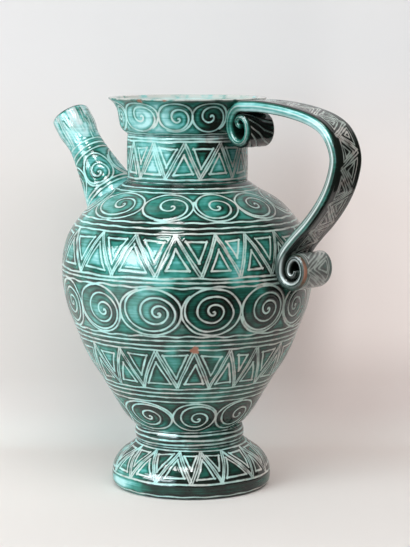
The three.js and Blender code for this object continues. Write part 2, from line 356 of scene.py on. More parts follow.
pot_glaze = glaze("pot_glaze", depth=0.4, streaks=0.45)
neck_glaze = glaze("neck_glaze", depth=0.23, edge_colour=WORN_STONE)
foot_glaze = glaze("foot_glaze", depth=0.52, dull=SCRATCH_ASHEN)
spout_glaze = glaze("spout_glaze", depth=0.14, edge_colour=WORN_GLOSS)
handle_glaze = glaze(
    "handle_glaze", depth=0.62, streaks=0.4, dull=SCRATCH_ASHEN, edge_colour=WORN_AND_SHEEN_PALE, broken=0.12
)
slip_glaze = glaze("slip_glaze", depth=0.8)
print("materials", len(bpy.data.materials))

# %% [markdown]
# ## Lines, smooth and evenly stepped
#
# The CAD outlines have few corners. A spline through them gives back the potter's smooth curve, and
# even steps along it give a mesh whose faces are nearly square, which grooves need.

# %% Splines and even steps
GRAIN = 0.65
SPLINE_STEPS = 16


def travelled(points):
    """How far along a line each of its points is, in mm."""
    steps = np.hypot(*np.diff(points, axis=0).T)
    return np.concatenate([[0], np.cumsum(steps)])


def even_steps(points, step):
    """The same line with points every step millimetres."""
    points = np.asarray(points, float)
    along = travelled(points)
    count = max(2, round(along[-1] / step) + 1)
    spots = np.linspace(0, along[-1], count)
    return np.stack([np.interp(spots, along, column) for column in points.T], axis=1)


def spline(points):
    """A smooth curve through the points."""
    points = np.asarray(points, float)
    padded = np.concatenate([[2 * points[0] - points[1]], points, [2 * points[-1] - points[-2]]])
    share = np.linspace(0, 1, SPLINE_STEPS, endpoint=False)[:, None]
    spans = []
    for before, start, end, after in zip(padded, padded[1:], padded[2:], padded[3:]):
        leave, arrive = (end - before) / 2, (after - start) / 2
        cubic = 2 * start - 2 * end + leave + arrive
        square = 3 * end - 3 * start - 2 * leave - arrive
        spans.append(cubic * share**3 + square * share**2 + leave * share + start)
    return np.concatenate([*spans, points[-1:]])


def softened(points, rounds, closed):
    """The same points with their corners rounded a little more at each round."""
    points = points.copy()
    for _ in range(rounds):
        if closed:
            points += 0.5 * ((np.roll(points, 1, axis=0) + np.roll(points, -1, axis=0)) / 2 - points)
        else:
            points[1:-1] += 0.5 * ((points[:-2] + points[2:]) / 2 - points[1:-1])
    return points


print("one step is", GRAIN, "mm")

# %% [markdown]
# ## Reading an outline from the frame
#
# A turned CAD piece is the same outline repeated round its axis. The corners on its +Y side, followed
# from one to the next along the mesh's edges, are that outline: first up the outside, then down the
# inside. The skin built from it is sure to lie where the CAD piece does.

# %% Outline of a turned CAD piece
ON_COLUMN = 0.02
OFF_AXIS = 1


def outline(node):
    """Points (radius, level) in mm up a turned node's outside, and then on down its inside."""
    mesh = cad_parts[node].data
    centre = middle(node)
    corners = np.array([v.co - Vector((centre.x, centre.y, 0)) for v in mesh.vertices]) / MM
    on_column = (abs(corners[:, 0]) < ON_COLUMN) & (corners[:, 1] > OFF_AXIS)
    spot = [
        (round(radius, 1), round(level, 1)) if on else None
        for (_, radius, level), on in zip(corners.tolist(), on_column)
    ]
    beside = {}
    for edge in mesh.edges:
        a, b = (spot[i] for i in edge.vertices)
        if a and b and a != b:
            beside.setdefault(a, set()).add(b)
            beside.setdefault(b, set()).add(a)
    here = min(beside, key=lambda p: (p[1], -p[0]))
    walked = [here]
    while True:
        ahead = [p for p in beside[here] if p not in walked]
        if not ahead:
            return np.array(walked)
        here = max(ahead, key=lambda p: p[1]) if len(walked) == 1 else ahead[0]
        walked.append(here)


def sides(walked):
    """An outline's outside, and its inside from the top down."""
    top = int(np.argmax(walked[:, 1]))
    return walked[: top + 1], walked[top:]


belly_side, belly_inside = sides(outline("belly"))
print("the belly's outline has", len(belly_side), "points outside and", len(belly_inside), "inside")

# %% [markdown]
# ## Scratching: how far is each point from a line?
#
# A stroke is a line drawn on the unrolled surface: degrees round the pot, millimetres up it. For
# every vertex the script works out the distance to the nearest stroke. That one number then cuts the
# groove and colours it. Only vertices in a small window round each bit of stroke are measured, which
# keeps it quick.

# %% Distance to the nearest stroke
REACH = 5.0
CHUNK = 12
TINY = 1e-9


def from_line(points, x, y, scale):
    """How far the places (x, y) are from a line whose first numbers are scaled to mm."""
    start_x, start_y = points[:-1, 0] * scale, points[:-1, 1]
    run_x, run_y = points[1:, 0] * scale - start_x, points[1:, 1] - start_y
    share = ((x - start_x) * run_x + (y - start_y) * run_y) / (run_x * run_x + run_y * run_y + TINY)
    share = np.clip(share, 0, 1)
    return np.hypot(x - start_x - share * run_x, y - start_y - share * run_y).min(axis=2)


def ink_field(strokes, across, along, girth, closed=True):
    """Signed distance in mm from every vertex to the nearest stroke's edge, at most REACH.

    across: where the columns are; along: where the rows are, in mm; girth: mm per unit of across in
    each row. A stroke is (points, width), with points as (across, along).
    """
    field = np.full((len(along), len(across)), REACH)
    step = across[1] - across[0]
    for points, width in strokes:
        for first in range(0, len(points) - 1, CHUNK):
            some = points[first : first + CHUNK + 1]
            low, high = some.min(axis=0), some.max(axis=0)
            rows = np.arange(*np.searchsorted(along, [low[1] - REACH, high[1] + REACH]))
            if len(rows) == 0:
                continue
            margin = REACH / girth[rows].min()
            columns = np.arange(
                math.floor((low[0] - margin - across[0]) / step),
                math.ceil((high[0] + margin - across[0]) / step) + 1,
            )
            if not closed:
                columns = columns[(columns >= 0) & (columns < len(across))]
            scale = girth[rows][:, None, None]
            x = (across[0] + columns * step)[None, :, None] * scale
            gap = from_line(some, x, along[rows][:, None, None], scale) - width / 2
            window = np.ix_(rows, columns % len(across))
            field[window] = np.minimum(field[window], gap)
    return field


print("strokes are felt up to", REACH, "mm away")

# %% [markdown]
# ## The groove itself
#
# A blunt point leaves a rounded groove and pushes a low lip of clay up beside it. The lip catches the
# light, and it is where the glaze ran off and stayed pale.

# %% Groove
GROOVE_DEPTH = 0.18
GROOVE_SOFT = 0.9
LIP_PLACE = 0.9
LIP_WIDTH = 0.55
LIP_HEIGHT = 0.12


def bell(distance, width):
    """1 at distance 0, falling off smoothly on both sides."""
    return np.exp(-((distance / width) ** 2))


def groove(field, depth=GROOVE_DEPTH):
    """How deep the surface is cut, in mm, from the distance to the stroke's edge."""
    share = np.clip((GROOVE_SOFT - field) / (2 * GROOVE_SOFT), 0, 1)
    return depth * share * share * (3 - 2 * share) - bell(field - LIP_PLACE, LIP_WIDTH) * LIP_HEIGHT


print("grooves are", GROOVE_DEPTH, "mm deep")

# %% [markdown]
# ## Strokes of an unsteady hand
#
# The strokes follow the photo's bands, and their shapes are drawn by rule: rings, spirals and zigzags
# with a smaller triangle in every gap. A little slow noise makes the hand unsteady. The noise is
# seeded, so that each run draws the same jug.

# %% Unsteady strokes
hand = np.random.default_rng(7)
LINE_WIDTH = 1.18
WAVES = (17, 41, 97)
RING_SLANT = 0.3
RING_OVERLAP = 6
RING_WOBBLE = 0.45
RING_STEP = 1.5


def unsteady(points, wobble=0.3, step=1.0):
    """A line in mm, stepped evenly, and pushed about slowly by up to about wobble mm."""
    points = even_steps(points, step)
    along = np.arange(len(points)) * step
    for column in (0, 1):
        for wave in WAVES:
            push = hand.normal() * np.sin(along / wave * 2 * np.pi + hand.uniform(0, 6))
            points[:, column] += wobble / len(WAVES) * push
    return points


def ring(level, reach):
    """A line round the pot at about one level; reach is half its length."""
    start, end = hand.uniform(-RING_SLANT, RING_SLANT, 2)
    points = [(-reach - RING_OVERLAP, level + start), (reach + RING_OVERLAP, level + end)]
    return unsteady(points, RING_WOBBLE, RING_STEP)


print("hand seeded")

# %% Spirals and triangles
LAST_TURN = 0.9
SPIRAL_GROWTH = 1.1
POINTS_PER_TURN = 40
SMALLEST_TRIANGLE = 0.2
BAR_GAP = 1.5
BAR_LINE = 0.9


def spiral(eye, cell, turns, start):
    """A clockwise spiral from its eye out to its cell's walls, along which it makes its last turn."""
    left, right, low, high = cell
    middle_of_cell = np.array([(left + right) / 2, (low + high) / 2])
    half = np.array([(right - left) / 2, (high - low) / 2])
    share = np.linspace(0, 1, POINTS_PER_TURN * math.ceil(turns))[:, None]
    angle = start - 2 * math.pi * turns * share
    grown = np.minimum(share * turns / (turns - LAST_TURN), 1)
    size = grown**SPIRAL_GROWTH * (half.min() * (1 - grown) + half * grown)
    centre = np.array(eye) * (1 - grown**2) + middle_of_cell * grown**2
    return centre + size * np.concatenate([np.cos(angle), np.sin(angle)], axis=1)


def shrunk(triangle, inset):
    """A triangle drawn inset mm inside another."""
    triangle = np.array(triangle, float)
    lengths = np.hypot(*(np.roll(triangle, -1, axis=0) - np.roll(triangle, 1, axis=0)).T)
    heart = (triangle * lengths[:, None]).sum(axis=0) / lengths.sum()
    (ax, ay), (bx, by) = triangle[1] - triangle[0], triangle[2] - triangle[0]
    inradius = abs(ax * by - ay * bx) / lengths.sum()
    return heart + (triangle - heart) * max(1 - inset / inradius, SMALLEST_TRIANGLE)


def triangle_strokes(triangle, jitter, overshoot, wobble, width):
    """Three strokes for a triangle, each with its corners about jitter mm off their places."""
    triangle = triangle + hand.normal(0, jitter, (3, 2))
    strokes = []
    for start, end in zip(triangle, np.roll(triangle, -1, axis=0)):
        over = (end - start) / np.hypot(*(end - start)) * overshoot
        strokes.append((unsteady([start - over, end + over], wobble), width))
    return strokes


def double_bars(corners, wobble):
    """Two bars side by side along each leg of a zigzag."""
    strokes = []
    for a, b in zip(corners, corners[1:]):
        side = np.array([a[1] - b[1], b[0] - a[0]])
        side = side / np.hypot(*side) * BAR_GAP / 2
        for sign in (1, -1):
            strokes.append((unsteady([a + sign * side, b + sign * side], wobble), BAR_LINE))
    return strokes


print("bars are", BAR_GAP, "mm apart")

# %% [markdown]
# ## A pattern book
#
# Each band is a kind of pattern between two levels of the pot. The spirals' eyes and walls and the
# zigzag's points are given where the photo shows them, as degrees from the middle of its view. The far
# side can't be seen, so the same pattern goes on round it at an even pace. The pot narrows and widens,
# so strokes are drawn in millimetres at the band's middle and then turned back into degrees.

# %% Bands of pattern
TRIANGLE_INSET = 4.2
EYE_STRAY = 1.2
EYE_LIFT = 0.8


def in_degrees(strokes, girth):
    """Strokes in mm both ways turned into degrees round and mm up; girth is mm in a degree."""
    return [(points / np.array([girth, 1]), width) for points, width in strokes]


def rings(*heights):
    """A band of plain lines round the pot at these heights."""
    def draw(sheet):
        strokes = []
        for height in heights:
            girth = sheet.girth_of(height)
            strokes += in_degrees([(ring(sheet.along_of(height), 180 * girth), LINE_WIDTH)], girth)
        return strokes

    return draw


def spirals(low, high, walls, eyes, count, turns):
    """A band of spirals between two heights, each in its own cell between two walls."""
    more_walls = np.linspace(walls[-1], walls[0] + 360, count - len(walls) + 2)[1:]
    all_walls = np.concatenate([walls, more_walls])

    def draw(sheet):
        bottom, top, girth = sheet.along_of(low), sheet.along_of(high), sheet.girth_of((low + high) / 2)
        strokes = []
        for i, (left, right) in enumerate(zip(all_walls, all_walls[1:])):
            eye = eyes[i] if i < len(eyes) else (left + right) / 2 + hand.normal(0, EYE_STRAY)
            place = (eye * girth, (bottom + top) / 2 + hand.normal(0, EYE_LIFT))
            cell = (left * girth, right * girth, bottom, top)
            points = spiral(place, cell, turns + hand.uniform(-0.2, 0.2), hand.uniform(1.2, 2.4))
            strokes.append((unsteady(points), LINE_WIDTH * hand.uniform(0.95, 1.15)))
        return in_degrees(strokes, girth)

    return draw


def zigzags(low, high, tops, bottoms, pairs, inset=TRIANGLE_INSET):
    """A band of zigzag between two heights: double bars, and a triangle in every gap."""
    corners = sorted([(degrees, high) for degrees in tops] + [(degrees, low) for degrees in bottoms])
    more = 2 * pairs - len(corners)
    step = (corners[0][0] + 360 - corners[-1][0]) / (more + 1)
    for _ in range(more):
        last_degrees, last_height = corners[-1]
        corners.append((last_degrees + step, low if last_height == high else high))
    corners += [(degrees + 360, height) for degrees, height in corners[:2]]

    def draw(sheet):
        girth = sheet.girth_of((low + high) / 2)
        flat = np.array([(degrees * girth, sheet.along_of(height)) for degrees, height in corners])
        strokes = double_bars(flat[:-1], 0.3)
        for trio in zip(flat, flat[1:], flat[2:]):
            inner = shrunk(trio, inset * hand.uniform(0.85, 1.15))
            strokes += triangle_strokes(inner, 0.4, 0.5, 0.25, LINE_WIDTH)
        return in_degrees(strokes, girth)

    return draw


print("triangles stand", TRIANGLE_INSET, "mm inside the zigzag")

# %% [markdown]
# ## A mesh from a grid
#
# Every skin is a grid: one row for each step along its outline, one column for each step round. The
# grid knows its own rows and columns, so it also gives the UV map that the finish is baked on. The
# numbers for the glaze go on its vertices as attributes.

# %% Grid meshes
def grid_piece(name, points, uv_rows, fields, close_rows):
    """A mesh of rows by columns of points (mm) wrapped round, whose rows close up or end in caps."""
    rows, columns = points.shape[:2]
    index = np.arange(rows * columns).reshape(rows, columns)
    below = index if close_rows else index[:-1]
    above = np.roll(index, -1, axis=0) if close_rows else index[1:]
    quads = np.stack([below, np.roll(below, -1, axis=1), np.roll(above, -1, axis=1), above], axis=-1)
    faces = quads.reshape(-1, 4).tolist()
    if not close_rows:
        faces += [index[0, ::-1].tolist(), index[-1].tolist()]
    mesh = bpy.data.meshes.new(name)
    mesh.from_pydata((points.reshape(-1, 3) * MM).tolist(), [], faces)
    mesh.shade_smooth()
    for field, values in fields.items():
        attribute = mesh.attributes.new(field, "FLOAT", "POINT")
        attribute.data.foreach_set("value", values.astype(np.float32).ravel())
    u, v = np.meshgrid(np.linspace(0, 1, columns + 1), uv_rows)
    corners = []
    for up, right in ((0, 0), (0, 1), (1, 1), (1, 0)):
        here = (slice(up, up + len(below)), slice(right, right + columns))
        corners += [u[here], v[here]]
    flat = np.zeros(2 * len(mesh.loops), np.float32)
    flat[: len(corners) * below.size] = np.stack(corners, axis=-1).ravel()
    mesh.uv_layers.new(name="OFBake").data.foreach_set("uv", flat)
    return in_scene(name, mesh)


def dress(piece, material, slot, *nodes):
    """Gives a piece its material and its body, and hides the CAD nodes that it stands for. The slot is not
    used.
    """
    piece.data.materials.append(material)
    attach(piece, "root")
    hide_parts(*nodes)
    print(piece.name, len(piece.data.polygons), "faces")


# %% [markdown]
# ## A turned surface, laid flat
#
# Like a label peeled off a bottle, a turned surface can be laid out flat. Strokes, chips and spots are
# all placed on that sheet. A chip is a ragged patch where the glaze and a little clay broke away. A
# spot is a soft patch where the glaze lies thin, or, with an amount below 0, where it pooled. Some
# spots are painted light instead, and some with an amount below 0 are painted shade.

# %% The sheet, and chips and spots on it
CHIP_DEPTH = 0.35
CHIP_BLUR = 0.7
ALL_ROUND = 2000


class Sheet:
    """A turned surface laid flat: columns are degrees round it, rows are mm along its outline."""

    def __init__(self, loop, outer, degrees):
        self.radius, self.level = loop.T
        self.outer = outer
        self.degrees = degrees
        self.along = travelled(loop)
        self.girth = np.maximum(self.radius, 1) * 2 * math.pi / 360

    def along_of(self, height):
        """How far along the outside a height is."""
        return float(np.interp(height, self.level[self.outer], self.along[self.outer]))

    def girth_of(self, height):
        """How many mm a degree round is, on the outside at a height."""
        return float(np.interp(height, self.level[self.outer], self.girth[self.outer]))

    def bare(self, chips):
        """How bare the clay is: 1 inside each chip, which is (degrees, height, radius in mm)."""
        bare = np.zeros((len(self.along), len(self.degrees)))
        for degrees, height, size in chips:
            x = (self.degrees - degrees)[None, :] * self.girth[:, None]
            y = (self.along - self.along_of(height))[:, None]
            around = np.arctan2(y, x) + degrees
            ragged = size * (1 + 0.13 * np.sin(3 * around) + 0.1 * np.sin(5 * around))
            bare = np.maximum(bare, np.clip((ragged - np.hypot(x, y)) / CHIP_BLUR + 0.5, 0, 1))
        return bare

    def thin(self, spots):
        """How thin the glaze is, and where light and shade are painted: a spot is (degrees, height, half its
        width and height in mm, amount).
        """
        thin = np.zeros((len(self.along), len(self.degrees)))
        for degrees, height, half_width, half_height, amount in spots:
            away = (self.degrees - degrees + 180) % 360 - 180
            x = away[None, :] * self.girth[:, None] / half_width
            y = (self.along - self.along_of(height))[:, None] / half_height
            thin += amount * np.exp(-(x * x + y * y))
        return thin


print("chips are", CHIP_DEPTH, "mm deep")

# %% [markdown]
# ## A skin for a turned piece
#
# The outline is splined, stepped evenly and spun round the node's own axis. The inside needs no
# detail, so below the rim its rows are far apart. Grooves are cut along the surface's own slope, not
# straight inwards, so that they stay as deep under the belly as on it. The columns start towards the
# back, where the seam of the UV map doesn't show.

# %% Turned skins
BACK_SEAM = -230.5
CORNER_ROUNDS = 4
FINE_INSIDE = 10
PLAIN_STEP = 4
AXIS_GAP = 0.05
INSIDE_UV_SHARE = 0.3
LIP_WEAR_OUTSIDE = 1.2
LIP_WEAR_INSIDE = 4


def section(name, closed):
    """A turned node's outline in (radius, level), and how many of its points are outside."""
    side, inside = sides(outline(name))
    outside = even_steps(spline(side), GRAIN)
    loop = np.concatenate([outside, even_steps(inside, GRAIN)[1:]])
    if closed:
        loop = np.concatenate([loop, even_steps([inside[-1], side[0]], GRAIN)[1:-1]])
    loop = softened(loop, CORNER_ROUNDS, closed)
    fine = len(outside) + int(FINE_INSIDE / GRAIN)
    loop = np.concatenate([loop[:fine], loop[fine :: round(PLAIN_STEP / GRAIN)]])
    if not closed:
        loop = np.concatenate([[[AXIS_GAP, loop[0][1]]], loop, [[AXIS_GAP, loop[-1][1]]]])
    return loop, len(outside)


def slopes(loop, closed):
    """The way the outline runs at each of its points, as steps of length 1."""
    ahead, behind = np.roll(loop, -1, axis=0), np.roll(loop, 1, axis=0)
    if not closed:
        ahead[-1], behind[0] = loop[-1], loop[0]
    slope = ahead - behind
    return slope / np.hypot(*slope.T)[:, None]


def turned(name, bands, material, slot, lip_wear=0.0, chips=(), spots=()):
    """The skin of a turned CAD node, with its bands of strokes, its chips, and its spots of thin or pooled
    glaze and of painted light and shade.
    """
    closed = name != "belly"
    loop, outside = section(name, closed)
    outer = slice(0 if closed else 1, outside)
    columns = round(2 * math.pi * loop[:, 0].max() / GRAIN)
    sheet = Sheet(loop, outer, BACK_SEAM + 360 * np.arange(columns) / columns)
    strokes = [stroke for band in bands for stroke in band(sheet)]
    ink = np.full((len(loop), columns), REACH)
    ink[outer] = ink_field(strokes, sheet.degrees, sheet.along[outer], sheet.girth[outer])
    bare = sheet.bare(chips)
    cut = CHIP_DEPTH * bare
    cut[outer] += groove(ink[outer])
    slope = slopes(loop, closed)
    radius = sheet.radius[:, None] - slope[:, 1:] * cut
    level = sheet.level[:, None] + slope[:, :1] * cut
    angle = np.radians(sheet.degrees + front_angle)
    centre = middle(name)
    x = centre.x / MM + radius * np.cos(angle)
    y = centre.y / MM + radius * np.sin(angle)
    is_outside = np.arange(len(loop)) < outside
    wear_reach = np.where(is_outside, LIP_WEAR_OUTSIDE, LIP_WEAR_INSIDE)
    edge = lip_wear * bell(sheet.level - sheet.level.max(), wear_reach)[:, None] * np.ones(columns)
    steps = np.hypot(*(np.roll(loop, -1, axis=0) - loop).T)
    weights = steps * np.where(is_outside, 1, INSIDE_UV_SHARE)
    uv_rows = np.concatenate([[0], np.cumsum(weights)]) / weights.sum()
    fields = {"ink": ink, "edge": edge, "thin": sheet.thin(spots), "bare": bare}
    piece = grid_piece(name + "_skin", np.stack([x, y, level], axis=-1), uv_rows, fields, closed)
    dress(piece, material, slot, name)


print("turned skins are ready")

# %% [markdown]
# ## The belly
#
# The belly carries most of the pattern: from the bottom a row of small spirals, a zigzag, the large
# spirals, another zigzag, and flattened spirals on the shoulder, with two to four lines between. It is
# the one member with a floor. One chip over its lower zigzag shows the red clay.

# %% Belly
belly_bands = [
    spirals(46.5, 68.5, [-61, -12.3, 24], [-33.5, 8.6, 48], 9, 3.2),
    rings(70, 73.6, 77, 80.4),
    zigzags(81.5, 109.5, [-57, -37, -16.5, 3.2, 22, 38, 57], [-48, -28.5, -6.5, 13.5, 30.5, 48], 18, 3.7),
    rings(110.5, 114, 117.4, 120.4),
    spirals(121.3, 154.5, [-80, -56.7, -31.6, -2.7, 24.3, 48.9], [-66, -41, -13, 11.5, 39, 58.5], 13, 3.8),
    rings(155.2, 158.2, 161.2),
    zigzags(162, 189.5, [-68, -45, -25.2, -5.9, 13.4, 28.4, 46.6], [-55, -35, -14, 6, 23.5, 39.7], 18),
    rings(190.5, 194, 197.4),
    spirals(198.4, 214.6, [-70, -28, 3.6, 31.7], [-44.5, -10, 18.5, 46.5], 11, 2.8),
    rings(215.6, 218.2),
]
belly_chips = [(3.5, 110.6, 2.9)]
# The two pale spots on the upper belly paint the light that falls on it from above. The dark spot at 60
# degrees paints shade on the side away from the window. The wide dark spot over the lower spirals makes them
# darker.
belly_spots = [
    (-25, 168, 60, 18, 0.25),
    (15, 172, 40, 18, 0.3),
    (20, 137, 60, 16, -0.5),
    (-70, 137, 40, 16, -0.3),
    (60, 160, 22, 30, -0.4),
    (0, 60, 90, 14, -0.6),
    (0, 196, 90, 9, -0.3),
    (0, 219, ALL_ROUND, 2.5, -1.0),
    (43, 152, 9, 15, -0.9),
]
turned("belly", belly_bands, pot_glaze, "glaze_green", chips=belly_chips, spots=belly_spots)

# %% [markdown]
# ## Foot and waist
#
# The same function turns the other members. The foot carries a zigzag that spreads as it flares, and
# the waist ring only lines. Dark glaze ran down and gathered at the foot.

# %% Foot and waist ring
foot_tops = [-60, -36.7, -11.3, 9.3, 31.2, 57.7]
foot_bottoms = [-49, -26, 0, 22.4, 49.8]
foot_bands = [rings(2.2, 11.3, 31.6), zigzags(12.2, 31, foot_tops, foot_bottoms, 15, 3.2)]
# The pale spot low on the left is a painted reflection of the window on the skirt, and the dark spot on the
# right is painted shade on the side away from the window.
foot_spots = [
    (-62, 8, 16, 7, 1.1),
    (0, 6, 60, 5, -0.4),
    (-45, 20, 18, 12, 0.2),
    (45, 16, 28, 14, -0.3),
]
turned("foot", foot_bands, foot_glaze, "glaze_green", spots=foot_spots)
turned("waist_ring", [rings(35.2, 38.6, 42.4)], foot_glaze, "glaze_deep")

# %% [markdown]
# ## Neck and collar
#
# The neck carries a steep zigzag, and the collar a row of spirals under its flared rim. Hands and
# cloths rub the rim, so its edge is worn pale, and it has two small chips.

# %% Neck and collar
neck_tops = [-61, -33, -2.4, 32]
neck_bottoms = [-50, -21.2, 12]
neck_bands = [rings(224), zigzags(224.5, 249, neck_tops, neck_bottoms, 12, 3.4), rings(250.2, 252.4)]
# The pale spot on the left paints the sheen of the window's light, and the dark spot at 28 degrees paints
# the shadow and the dark reflection of the handle's upper scroll.
neck_spots = [
    (-35, 240, 22, 16, 0.45),
    (28, 252, 9, 6, -1.1),
    (40, 233, 26, 14, 0.4),
    (12, 246, 3, 8, -0.9),
    (19, 239, 2.5, 13, -0.9),
    (-8, 243, 3, 9, -0.6),
]
turned("neck", neck_bands, neck_glaze, "glaze_deep", spots=neck_spots)

rim_walls = [-85, -60, -24, 4, 33]
rim_eyes = [-70.8, -40.7, -7.4, 19, 46]
rim_bands = [rings(255.6), spirals(257.5, 277, rim_walls, rim_eyes, 12, 2.4)]
rim_chips = [(-36.4, 278.6, 1.9), (-16.3, 279, 1.2)]
# The two pale spots on the left paint the sheen of the window's light, and the two dark spots on the
# handle's side paint the shadow and the dark reflection of its upper scroll.
rim_spots = [
    (-30, 262, 18, 8, 0.5),
    (-45, 272, 20, 9, 0.3),
    (24, 262, 8, 8, -1.1),
    (40, 272, 12, 9, -0.3),
    (0, 280, ALL_ROUND, 4.5, -0.6),
]
turned(
    "rim_collar", rim_bands, neck_glaze, "glaze_green", lip_wear=1.0, chips=rim_chips, spots=rim_spots
)

# %% [markdown]
# ## Slip between the members
#
# Slip is runny clay, the potter's glue. Where two members were luted together a thin ring of it shows,
# with dark glaze in the crease. Those rings are too small to need a skin: the CAD rings take the glaze.

# %% Slip rings
for slip_ring in ("foot_slip", "waist_slip", "neck_slip", "collar_slip"):
    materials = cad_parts[slip_ring].data.materials
    materials.clear()
    materials.append(slip_glaze)
print("four rings of slip are glazed")

# %% [markdown]
# ## The spout
#
# The spout was turned on the wheel like the rest, then leaned against the shoulder and luted on. So its
# skin is turned too, about an axis of its own that tilts out from a seat on the belly. Each column
# starts just under the belly's surface, which makes the joint follow the shoulder by itself.

# %% The spout's sizes and place
SPOUT_TILT = 36
SPOUT_SEAT_LEVEL = 202.8
spout_side = [(25.8, -24), (21.5, 0), (16.2, 24.5), (12.8, 49), (14.4, 62.5), (14.4, 73.5)]
spout_lip = [(14.2, 75), (13.4, 76), (12.4, 76.1), (11.2, 75), (9.6, 72), (8.4, 66)]
spout_root = spout_side[0][1]
spout_top = spout_side[-1][1]


def belly_radius(level):
    """The belly's outer radius at a level, in mm."""
    smooth = spline(belly_side)
    return np.interp(level, smooth[:, 1], smooth[:, 0])


def spout_radius(height):
    """The spout's outer radius at a height along its own axis."""
    side = spline(spout_side)
    return np.interp(height, side[:, 1], side[:, 0])


def spout_place(radius, height, angle):
    """Points in the frame, in mm, from places round the spout's own axis. Angle 0 faces the pot."""
    tilt = math.radians(SPOUT_TILT)
    out = radius * np.cos(angle)
    x = pot_axis.x / MM - belly_radius(SPOUT_SEAT_LEVEL) - height * math.sin(tilt) + out * math.cos(tilt)
    z = SPOUT_SEAT_LEVEL + height * math.cos(tilt) + out * math.sin(tilt)
    return np.stack(np.broadcast_arrays(x, radius * np.sin(angle), z), axis=-1)


print("the spout leans out by", SPOUT_TILT, "degrees")

# %% [markdown]
# ## Strokes on the spout
#
# Three rings, two of them slanting a little, stand over a row of four spirals, and a double line
# follows the curved joint. Near the lip the glaze is rubbed into short streaks along the spout, because
# its tip rubs against whatever it meets.

# %% Spout strokes
SPOUT_SEAM = -280
MIDDLE_GIRTH = 0.3
TIP_GIRTH = 0.24
RING_TURN = 100
JOINT_RISE = 2.9
SPIRAL_LOW, SPIRAL_EYE, SPIRAL_HIGH = 8.5, 19, 35.5
SPIRAL_TURNS = 2.9
SPIRAL_START = 1.9
STREAKS = 34
spout_rings = [(37, 2), (41.5, 1.5), (47, 0)]
spiral_walls = [-280, -187, -96, -15, 80]
joint_lines = [2.2, 5.4]


def around_spout(height_at):
    """A line round the spout, from a rule that gives its height at each degree."""
    return np.array([(d, height_at(d)) for d in range(SPOUT_SEAM, SPOUT_SEAM + 381, 10)], float)


def ring_stroke(height, rise):
    return around_spout(lambda d: height + rise * math.sin(math.radians(d + RING_TURN)))


def joint_stroke(offset):
    return around_spout(lambda d: offset + JOINT_RISE * (1 + math.cos(math.radians(d))) - 1)


def tip_streak():
    """A short narrow stroke along the spout near its lip, as (points, width) in mm."""
    degrees = hand.uniform(-270, 90)
    low = hand.uniform(48, 62)
    lean = hand.normal(0, 4)
    points = [(degrees * TIP_GIRTH, low), ((degrees + lean) * TIP_GIRTH, low + hand.uniform(8, 20))]
    return unsteady(points, 0.4), hand.uniform(0.4, 0.9)


def spout_strokes():
    """Rings under the lip, spirals round the middle, a double line along the joint, and wear."""
    strokes = [(ring_stroke(height, rise), LINE_WIDTH) for height, rise in spout_rings]
    for left, right in zip(spiral_walls, spiral_walls[1:]):
        eye = ((left + right) / 2 * MIDDLE_GIRTH, SPIRAL_EYE)
        cell = (left * MIDDLE_GIRTH, right * MIDDLE_GIRTH, SPIRAL_LOW, SPIRAL_HIGH)
        points = unsteady(spiral(eye, cell, SPIRAL_TURNS, SPIRAL_START))
        strokes += in_degrees([(points, LINE_WIDTH)], MIDDLE_GIRTH)
    strokes += [(joint_stroke(offset), LINE_WIDTH) for offset in joint_lines]
    return strokes + in_degrees([tip_streak() for _ in range(STREAKS)], TIP_GIRTH)


print("the spout has", len(spout_rings) + len(joint_lines), "lines round it")

# %% [markdown]
# ## The spout's skin
#
# From the joint the skin runs up the outside, over a rounded lip and down into the bore, and closes on
# itself just under the belly's surface. The glaze is worn off in streaks near the lip, and a dark line
# of it gathered along the lip itself.

# %% Spout skin
SPOUT_BORE_RADIUS = 8
SPOUT_SINK = 0.7
SPOUT_ROWS = 120
SPOUT_GROOVE = 0.1
SEARCH_ROWS = 400
STROKE_ROWS = 180
BORE_TOP = 60
WEAR_FROM = 48
WEAR_FADE = 14
MOST_WEAR = 0.85
STREAK_CONTRAST = 2.4
STREAK_FLOOR = 0.8
POOL_FROM = 42
POOL_FADE = 10
SPOUT_POOL = 0.1
LIP_LINE = 1.4
LIP_LINE_BLUR = 0.6
LIP_LINE_POOL = 1.4


def spout_base(angle):
    """How far down each column starts: just under the belly's surface."""
    heights = np.linspace(spout_root, spout_top, SEARCH_ROWS)[:, None]
    trial = spout_place(spout_radius(heights), heights, angle)
    reach = np.hypot(trial[..., 0] - pot_axis.x / MM, trial[..., 1])
    inside = reach < belly_radius(trial[..., 2]) - SPOUT_SINK
    return heights[len(heights) - 1 - np.argmax(inside[::-1], axis=0), 0]


def spout_ink(degrees, height):
    """The distance to the strokes at each column's own heights."""
    fine = np.linspace(spout_root, spout_top, STROKE_ROWS)
    flat = ink_field(spout_strokes(), degrees, fine, spout_radius(fine) * 2 * math.pi / 360)
    columns = [np.interp(heights, fine, distances) for heights, distances in zip(height.T, flat.T)]
    return np.stack(columns, axis=1)


